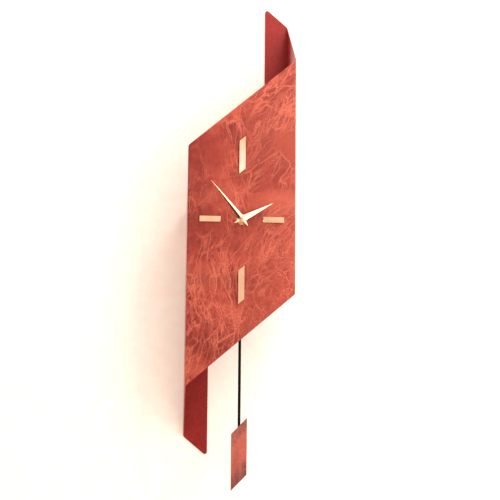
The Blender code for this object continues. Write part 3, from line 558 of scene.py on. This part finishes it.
def arc_arrow(centre, radius, width, start, end, steps=24):
    """A bent arrow: a band round a centre from one bearing to another, with a head at its end."""
    bearings = [radians(start + (end - start) * k / steps) for k in range(steps + 1)]

    def at(bearing, reach):
        return centre[0] + reach * cos(bearing), centre[1] + reach * sin(bearing)

    outer = [at(bearing, radius + width / 2) for bearing in bearings]
    inner = [at(bearing, radius - width / 2) for bearing in reversed(bearings)]
    tip = bearings[-1] + 2.6 * width / radius
    head = [at(bearings[-1], radius + 1.3 * width), at(tip, radius), at(bearings[-1], radius - 1.3 * width)]
    return outer + head + inner


def cross(centre, size, width):
    """A plus sign's outline."""
    a, b = size / 2, width / 2
    corner = [(a, -b), (a, b), (b, b), (b, a), (-b, a), (-b, b), (-a, b), (-a, -b)]
    corner += [(-b, -b), (-b, -a), (b, -a), (b, -b)]
    return [(centre[0] + x, centre[1] + z) for x, z in corner]


def band(bm, first, second):
    """Faces between two loops with the same number of points."""
    count = len(first)
    for k in range(count):
        bm.faces.new((first[k], first[(k + 1) % count], second[(k + 1) % count], second[k]))


def moulding(name, shapes, base, rise, look, body, soft=0.12 * MM, place=None):
    """Raised shapes on a face that looks along +y. A shape is one outline, or a pair with a hole.

    Given a place, the shapes are laid with it: it takes (x, z) and a height to a point.
    """
    place = place or (lambda x, z, height: (x, base + height, z))
    bm = bmesh.new()
    for shape in shapes:
        loops = shape if isinstance(shape, tuple) else (shape,)
        low, high = (
            [[bm.verts.new(place(x, z, height)) for x, z in loop] for loop in loops]
            for height in (0.0, rise)
        )
        for under, over in zip(low, high):
            band(bm, under, over)
        if len(loops) == 1:
            bm.faces.new(low[0])
            bm.faces.new(high[0])
        else:
            band(bm, *low)
            band(bm, *high)
    bmesh.ops.recalc_face_normals(bm, faces=bm.faces)
    made = mesh_object(name, bm, look)
    made.data.shade_smooth()
    made.data.set_sharp_from_angle(angle=radians(35))
    edge = made.modifiers.new("edge", "BEVEL")
    edge.width = soft
    edge.segments = 2
    edge.limit_method = "ANGLE"
    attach(made, body)


def cover_mouldings(black):
    """Rim, ribs, a blank field, the setting arrow and the cell's signs on the rear cover."""
    low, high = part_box("rear_cover")
    knob = middle_of(*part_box("setting_knob"))
    middle = middle_of(low, high)
    width, height = high.x - low.x, high.z - low.z
    rim = (
        centred_box(middle, width - 2 * MM, height - 2 * MM, 2.2 * MM),
        centred_box(middle, width - 4 * MM, height - 4 * MM, 1.4 * MM),
    )
    rib_pitch, rib_count = 4.5 * MM, 9
    ribs = [
        centred_box((0, low.z + 7 * MM + rib_pitch * k), width - 14 * MM, 1.6 * MM, 0.7 * MM)
        for k in range(rib_count)
    ]
    field_at, field = (high.x - 15 * MM, high.z - 26 * MM), (20 * MM, 15 * MM)
    blank = (
        centred_box(field_at, *field, 1.5 * MM),
        centred_box(field_at, field[0] - 1.2 * MM, field[1] - 1.2 * MM, 1.0 * MM),
    )
    arrow = arc_arrow(knob, 8.9 * MM, 0.8 * MM, 200, 320)
    sign_height, sign = high.z - 4.2 * MM, 2.8 * MM
    plus = cross((high.x - 5 * MM, sign_height), sign, 0.8 * MM)
    minus = centred_box((low.x + 5 * MM, sign_height), sign, 0.8 * MM, 0.1 * MM)
    face = high.y
    moulding("cover_rim", [rim], face, 0.5 * MM, black, "case")
    moulding("cover_ribs", ribs, face, 0.7 * MM, black, "case", 0.25 * MM)
    moulding("cover_field", [blank], face, 0.3 * MM, black, "case", 0.08 * MM)
    signs = [arrow, plus, minus]
    moulding("cover_signs", signs, face, 0.35 * MM, black, "case", 0.06 * MM)


def housing_mouldings(black):
    """Long shallow ribs down both sides of the housing."""
    low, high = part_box("movement_housing")
    pitch, count = 3.2 * MM, 5
    top, bottom = high.z - 22 * MM, low.z + 8 * MM
    centre, length = (top + bottom) / 2, top - bottom
    for side, edge, way in (("left", low.x, -1), ("right", high.x, 1)):
        ribs = [
            centred_box((low.y + 3 * MM + pitch * k, centre), 1.2 * MM, length, 0.5 * MM)
            for k in range(count)
        ]
        moulding(
            "housing_ribs_" + side,
            ribs,
            0.0,
            0.4 * MM,
            black,
            "case",
            0.15 * MM,
            lambda depth, z, height, edge=edge, way=way: (edge + way * height, depth, z),
        )


def knob_mouldings(acetal):
    """A ring and a finger bar on the setting knob."""
    low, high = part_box("setting_knob")
    at = middle_of(low, high)
    ring = tuple(centred_box(at, 2 * radius, 2 * radius, radius, 10) for radius in (5.6 * MM, 4.9 * MM))
    bar = centred_box(at, 8.6 * MM, 1.5 * MM, 0.7 * MM)
    moulding("knob_grip", [ring, bar], high.y, 0.5 * MM, acetal, "setting_knob", 0.15 * MM)


def cell_crimps(look):
    """The rolled beads where the cell's can closes over both ends."""
    low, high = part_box("battery")
    y, z = (low.y + high.y) / 2, (low.z + high.z) / 2
    can, bead, sink = (high.z - low.z) / 2, 0.32 * MM, 0.12 * MM
    around, along = 48, 8
    bm = bmesh.new()
    for x in (high.x - 2.6 * MM, low.x + 1.3 * MM):
        rings = []
        for k in range(around):
            turn = 2 * pi * k / around
            ring = []
            for j in range(along):
                roll = 2 * pi * j / along
                reach = can - sink + bead * cos(roll)
                point = (x + bead * sin(roll), y + reach * cos(turn), z + reach * sin(turn))
                ring.append(bm.verts.new(point))
            rings.append(ring)
        for k in range(around):
            band(bm, rings[k], rings[(k + 1) % around])
    bmesh.ops.recalc_face_normals(bm, faces=bm.faces)
    made = mesh_object("cell_crimps", bm, look)
    made.data.shade_smooth()
    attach(made, "battery")


def add_mouldings(black, acetal, steel):
    """The moulded and rolled details that the CAD solids leave plain."""
    cover_mouldings(black)
    housing_mouldings(black)
    knob_mouldings(acetal)
    cell_crimps(steel)


# ------------------------------------------------------------------ studio


def stage_plane(name, size, place, turn, look):
    """A flat square in the studio, which isn't part of the clock."""
    bm = bmesh.new()
    bmesh.ops.create_grid(bm, x_segments=4, y_segments=4, size=size / 2)
    made = mesh_object(name, bm, look)
    made.location = place
    made.rotation_euler = turn
    return made


def plaster(name, clear_behind):
    """Pale plaster with a faint warm glow, which can be clear to a view from behind."""
    look = Look(name, Roughness=0.9, Emission_Color=(1.0, 0.85, 0.70, 1.0), Emission_Strength=0.1)
    lumps = look.noise(look.place(), 60.0, 5.0, 0.6, flat=False)
    look.set("Base Color", look.mix(look.span(lumps, 0.3, 0.7), srgb(244, 238, 230), srgb(250, 245, 238)))
    look.set("Normal", look.bump(lumps, 0.15, 1.5 * MM))
    if clear_behind:
        clear = look.add("ShaderNodeBsdfTransparent")
        blend = look.add("ShaderNodeMixShader")
        look.tree.links.new(look.add("ShaderNodeNewGeometry").outputs["Backfacing"], blend.inputs[0])
        look.tree.links.new(look.shader.outputs[0], blend.inputs[1])
        look.tree.links.new(clear.outputs[0], blend.inputs[2])
        output = look.tree.nodes["Material Output"]
        look.tree.links.new(blend.outputs[0], output.inputs["Surface"])
    return look.material


def area_light(name, place, target, width, height, power, colour=(1, 1, 1)):
    """A soft panel of light. It lights and is reflected, and is out of the picture itself."""
    data = bpy.data.lights.new(name, "AREA")
    data.shape = "RECTANGLE"
    data.size = width
    data.size_y = height
    data.energy = power
    data.color = colour
    made = bpy.data.objects.new(name, data)
    made.location = place
    aim = Vector(target) - Vector(place)
    made.rotation_mode = "QUATERNION"
    made.rotation_quaternion = aim.to_track_quat("-Z", "Y")
    made.visible_camera = False
    bpy.context.scene.collection.objects.link(made)


def dark_card(name, place, lean, width, height, shade):
    """An upright dark card that is out of the picture and shows only in what mirrors it."""
    look = Look(name, Roughness=1.0, Base_Color=shade, Specular_IOR_Level=0.0)
    made = stage_plane(name, 1.0, place, (0, 0, 0), look.material)
    made.matrix_world = (
        Matrix.Translation(place)
        @ Matrix.Rotation(lean, 4, "Y")
        @ Matrix.Rotation(pi / 2, 4, "X")
        @ Matrix.Diagonal((width, height, 1.0, 1.0))
    )
    made.visible_camera = False
    made.visible_diffuse = False
    made.visible_shadow = False


def build_sky():
    """Soft room light, strongest from the upper right. Where it is seen itself, it is plain and pale."""
    world = bpy.data.worlds.new("studio")
    world.use_nodes = True
    nodes = Nodes(world.node_tree)
    x, _, z = nodes.split(nodes.add("ShaderNodeTexCoord").outputs["Generated"])
    side = nodes.math("MULTIPLY_ADD", x, 0.55, nodes.math("MULTIPLY", z, 0.83))
    sky = world.node_tree.nodes["Background"]
    shade = nodes.mix(nodes.span(side, -0.40, 0.25), srgb(178, 142, 114), srgb(255, 246, 238))
    seen = nodes.add("ShaderNodeLightPath").outputs["Is Camera Ray"]
    nodes.feed(sky.inputs["Color"], nodes.mix(seen, shade, srgb(238, 234, 228)))
    sky.inputs["Strength"].default_value = 1.1
    bpy.context.scene.world = world


def build_studio():
    """The wall, the floor, the light panels and the dark cards."""
    wall_look = plaster("wall_plaster", clear_behind=True)
    wall = stage_plane("wall", 6.0, (0, 0.4 * MM, 0.8), (pi / 2, 0, 0), wall_look)
    wall.visible_shadow = False
    floor_look = plaster("floor_plaster", clear_behind=False)
    stage_plane("floor", 8.0, (0, 0, -1.3), (0, 0, 0), floor_look)
    middle = (0, 0, -0.02)
    warm = (1.0, 0.96, 0.91)
    area_light("window_strip", (0.38, -0.50, 0.24), middle, 0.26, 1.3, 3.5, warm)
    area_light("high_window", (-0.18, -1.85, 1.19), middle, 1.1, 0.9, 5, warm)
    area_light("mid_card", (0.35, -2.0, 0.40), (0, 0, 0.1), 0.9, 0.16, 0.55, (0.62, 0.76, 1.0))
    area_light("top_card", (0.24, -0.40, 0.80), (0.054, 0, 0.28), 0.25, 0.25, 3.2, warm)
    area_light("low_card", (0.72, -1.88, -0.58), middle, 0.5, 0.5, 2.2, warm)
    area_light("behind", (-0.9, 1.6, 0.7), middle, 1.1, 1.1, 30)
    dark_card("slim_card", (0.3035, -3.09, 0.497), radians(-26.6), 0.030, 0.50, srgb(60, 34, 20))
    dark_card("low_left_card", (-0.56, -1.20, -0.32), 0.0, 0.34, 0.34, srgb(46, 26, 16))
    build_sky()
    bpy.context.scene.view_settings.view_transform = "Standard"


def build_camera():
    """The viewpoint: a little left of the clock and below it, looking up and right."""
    face_width = 2 * HALF_FACE
    data = bpy.data.cameras.new("camera")
    data.sensor_width = 36
    data.lens = LENS
    data.clip_end = 50
    made = bpy.data.objects.new("camera", data)
    bpy.context.scene.collection.objects.link(made)
    corner = Vector((-HALF_FACE, FACE_Y, -(UPRIGHT_SIDE + face_width * tan(SLANT)) / 2))
    place = corner + Vector(FROM_CORNER) * face_width
    stance = Matrix.Rotation(YAW, 4, "Z") @ Matrix.Rotation(PITCH, 4, "X") @ Matrix.Rotation(ROLL, 4, "Y")
    made.matrix_world = Matrix.Translation(place) @ stance @ Matrix.Rotation(pi / 2, 4, "X")
    bpy.context.scene.camera = made


add_mouldings(*paint_frame())
build_camera()
build_studio()
